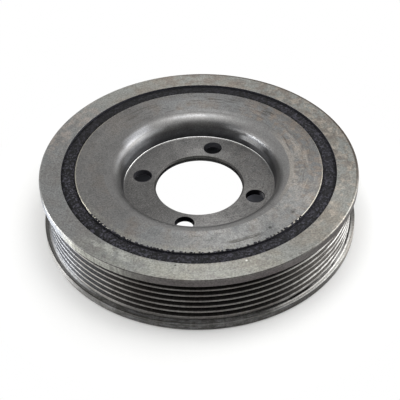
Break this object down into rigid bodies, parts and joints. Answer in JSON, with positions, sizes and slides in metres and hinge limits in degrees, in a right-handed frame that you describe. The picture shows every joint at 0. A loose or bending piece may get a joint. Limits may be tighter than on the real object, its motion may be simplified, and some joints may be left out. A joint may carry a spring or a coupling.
{
  "type": "harmonic balancer",
  "caption": "Crankshaft vibration damper: dished steel hub with centre bore and bolt seat, rubber ring, and a flanged inertia ring with a multi-ribbed belt track.",
  "frame": {"origin": "on the turning axis, in the rear plane that the part rests on", "axes": "+Z along the turning axis, out of the dished front face; +X and +Y across it, with the first bolt hole 75.2 degrees from +X"},
  "size_m": [0.158, 0.158, 0.0328],
  "materials": {
    "hub_steel": "drawn and turned, dull, with stains",
    "ring_iron": "turned, dull, with stains",
    "damper_rubber": "moulded, matt"
  },
  "bodies": {
    "root": {"hub": "hub_steel", "inertia_ring": "ring_iron", "rubber_ring": "damper_rubber"}
  },
  "joints": []
}
